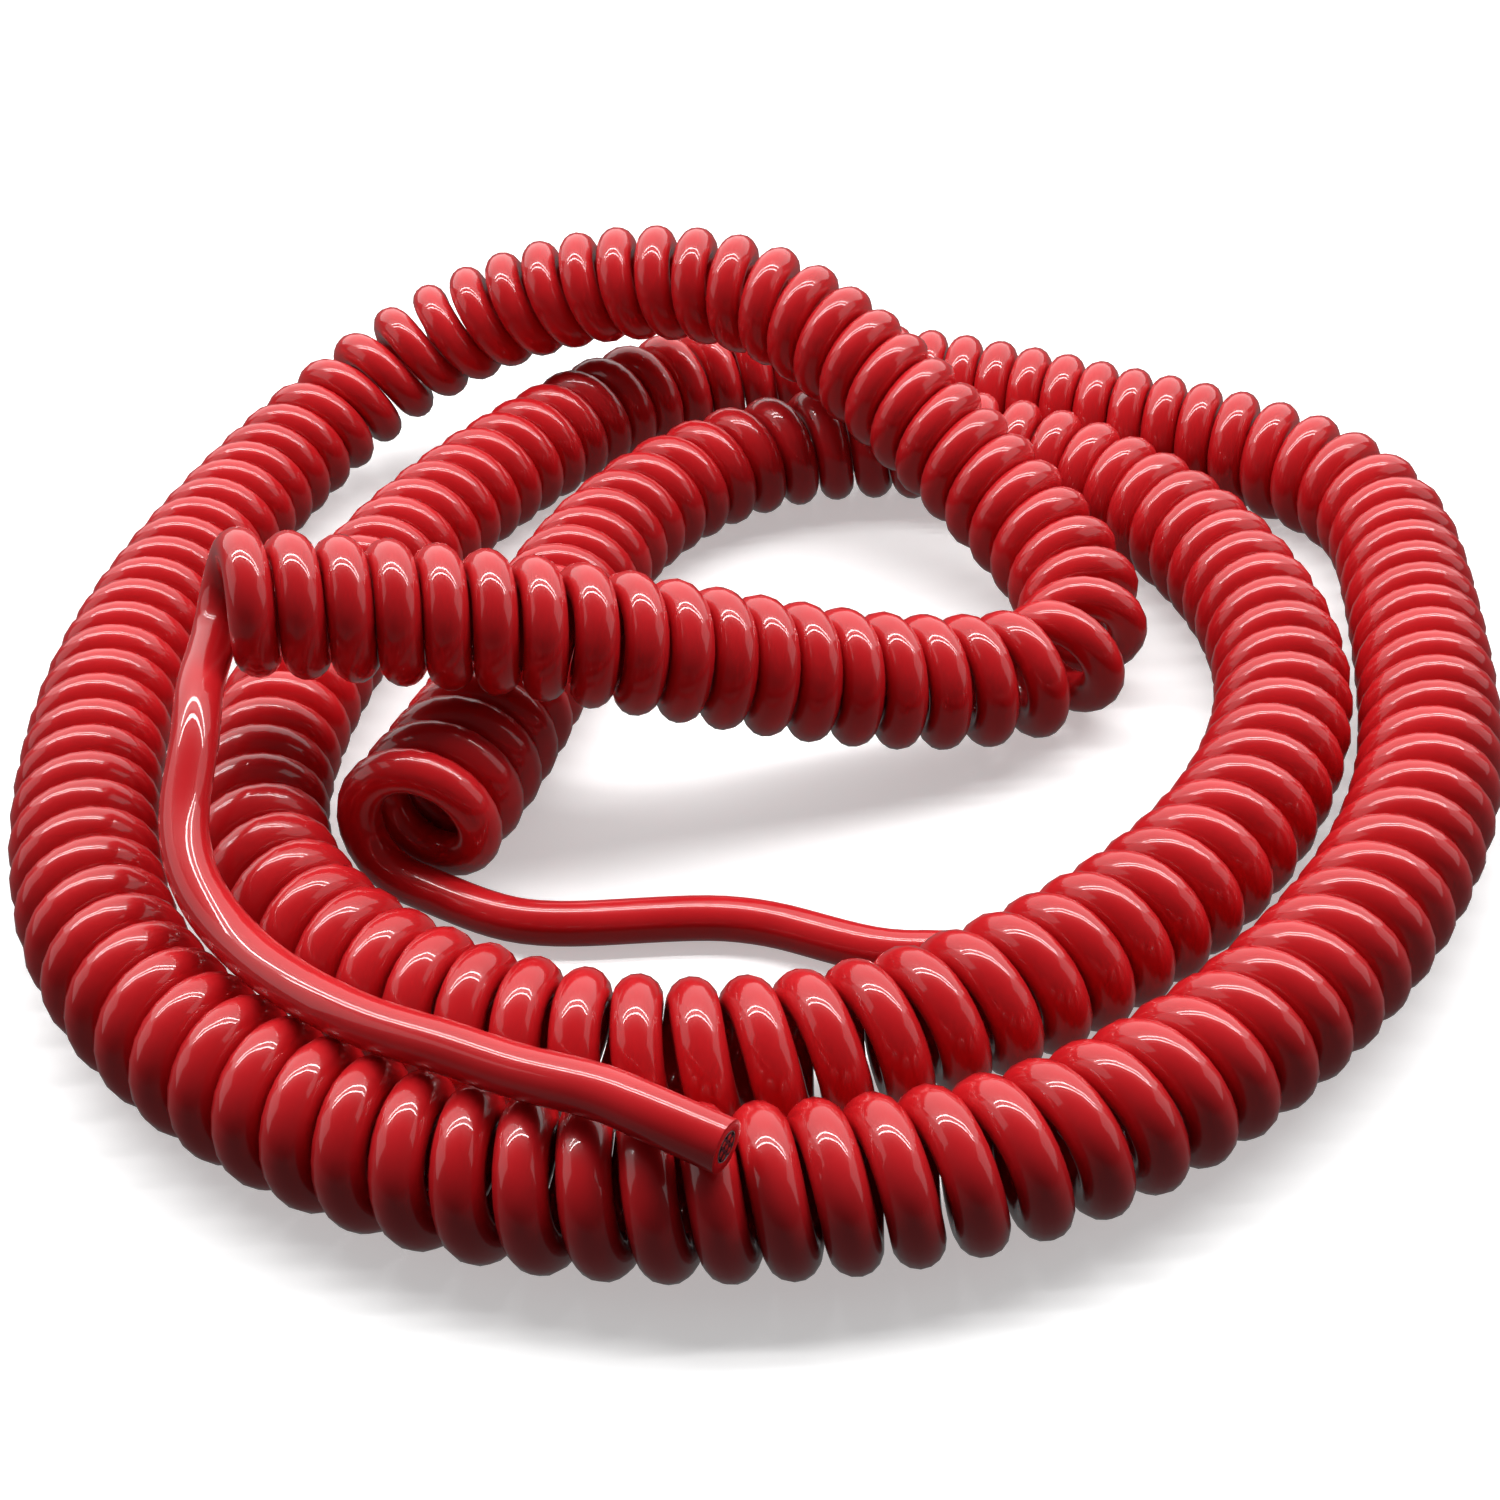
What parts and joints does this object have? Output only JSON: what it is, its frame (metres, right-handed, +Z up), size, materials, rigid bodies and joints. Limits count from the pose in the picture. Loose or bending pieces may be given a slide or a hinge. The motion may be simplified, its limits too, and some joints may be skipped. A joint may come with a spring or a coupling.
{
  "type": "coiled cable",
  "caption": "Long spring-wound multi-core cable in a glossy red jacket, lying in a loose pile of loops with a plain cut end at each side.",
  "frame": {"origin": "centre of the pile's footprint, on the surface that it lies on", "axes": "+Z up, -Y towards the side that the upper cut end lies on, +X to the right of it"},
  "size_m": [0.3192, 0.3242, 0.07],
  "materials": {
    "jacket": "glossy soft polyurethane",
    "core_insulation": "dull dark insulation",
    "conductor": "bare stranded copper, freshly cut",
    "tape": "thin pale wrapping tape"
  },
  "bodies": {
    "root": {"jacket_coil": "jacket", "jacket_tail_front": "jacket", "jacket_tail_rear": "jacket", "jacket_end_front": "jacket", "jacket_end_rear": "jacket", "tape_front": "tape", "tape_rear": "tape", "core_front_0": "core_insulation", "core_front_1": "core_insulation", "core_front_2": "core_insulation", "core_front_3": "core_insulation", "core_front_4": "core_insulation", "core_front_5": "core_insulation", "core_front_6": "core_insulation", "core_rear_0": "core_insulation", "core_rear_1": "core_insulation", "core_rear_2": "core_insulation", "core_rear_3": "core_insulation", "core_rear_4": "core_insulation", "core_rear_5": "core_insulation", "core_rear_6": "core_insulation", "conductor_front_0": "conductor", "conductor_front_1": "conductor", "conductor_front_2": "conductor", "conductor_front_3": "conductor", "conductor_front_4": "conductor", "conductor_front_5": "conductor", "conductor_front_6": "conductor", "conductor_rear_0": "conductor", "conductor_rear_1": "conductor", "conductor_rear_2": "conductor", "conductor_rear_3": "conductor", "conductor_rear_4": "conductor", "conductor_rear_5": "conductor", "conductor_rear_6": "conductor"}
  },
  "joints": []
}
